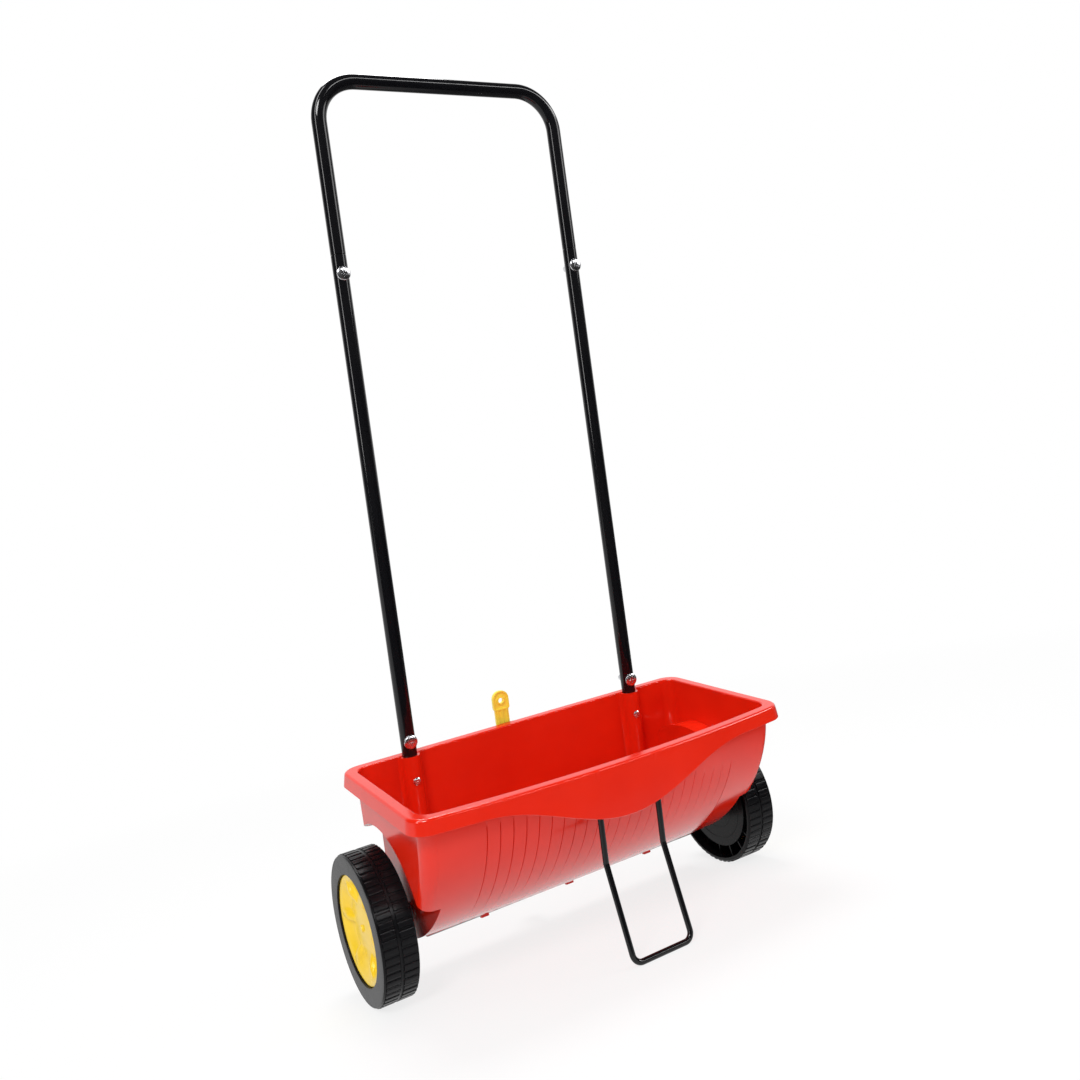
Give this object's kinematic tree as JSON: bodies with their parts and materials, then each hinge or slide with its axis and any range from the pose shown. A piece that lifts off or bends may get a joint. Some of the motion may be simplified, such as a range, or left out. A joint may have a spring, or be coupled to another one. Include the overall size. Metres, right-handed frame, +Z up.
{
  "type": "drop spreader",
  "caption": "Walk-behind lawn drop spreader: long fluted hopper on two wheels, tall U-shaped tube handle, wire stand, and a lever that slides a shutter under the outlets.",
  "frame": {"origin": "on the floor, under the middle of the overall box", "axes": "+X to the right along the axle, as seen from the front of the hopper; the fluted front faces -Y and the user's side is +Y; +Z is up. The part is tipped forward on its stand, so wheels and stand share the floor"},
  "size_m": [0.652, 0.3489, 1.2699],
  "materials": {
    "hopper_red": "glossy moulded red plastic with fine ribbing on the front wall",
    "scale_red": "darker red moulded plastic",
    "bush_grey": "dark grey moulded plastic",
    "handle_black": "glossy black enamel on steel tube and wire",
    "wheel_black": "satin black moulded plastic",
    "cap_yellow": "semi-gloss yellow moulded plastic",
    "zinc_steel": "bright zinc plating",
    "shutter_steel": "galvanised sheet"
  },
  "bodies": {
    "root": {"hopper": "hopper_red", "bush_left": "bush_grey", "bush_right": "bush_grey", "tube_left": "handle_black", "tube_right": "handle_black", "upper_handle": "handle_black", "joint_bolts": "zinc_steel", "joint_nuts": "zinc_steel", "base_bolts": "zinc_steel", "base_nuts": "zinc_steel", "socket_screws": "zinc_steel", "stand": "handle_black", "scale_plate": "scale_red", "scale_screws": "zinc_steel", "pivot_bolt": "zinc_steel", "spring_washer": "zinc_steel"},
    "axle_set": {"axle": "zinc_steel", "agitator": "bush_grey", "drive_pin": "zinc_steel", "wheel_left": "wheel_black", "cap_left": "cap_yellow", "washer_left": "zinc_steel", "push_cap_left": "zinc_steel", "washer_right": "zinc_steel", "push_cap_right": "zinc_steel"},
    "right_wheel": {"wheel_right": "wheel_black", "cap_right": "cap_yellow"},
    "lever": {"lever": "cap_yellow"},
    "shutter": {"shutter": "shutter_steel", "shutter_arm": "shutter_steel", "arm_rivets": "zinc_steel", "arm_pin": "zinc_steel"}
  },
  "joints": [
    {"name": "axle_spin", "type": "hinge", "parent": "root", "child": "axle_set", "pos_m": [0, 0.06358, 0.1], "axis": [1, 0, 0], "continuous": true},
    {"name": "right_wheel_spin", "type": "hinge", "parent": "root", "child": "right_wheel", "pos_m": [0, 0.06358, 0.1], "axis": [1, 0, 0], "continuous": true},
    {"name": "lever_swing", "type": "hinge", "parent": "root", "child": "lever", "pos_m": [-0.024, 0.16661, 0.09218], "axis": [0, 0.9841, 0.1777], "range_deg": [0, 20]},
    {"name": "shutter_slide", "type": "slide", "parent": "root", "child": "shutter", "axis": [-1, 0, 0], "range_m": [0, 0.0117]}
  ],
  "couplings": [
    {"joint": "shutter_slide", "follows": "lever_swing", "m_per_rad": 0.033366}
  ]
}
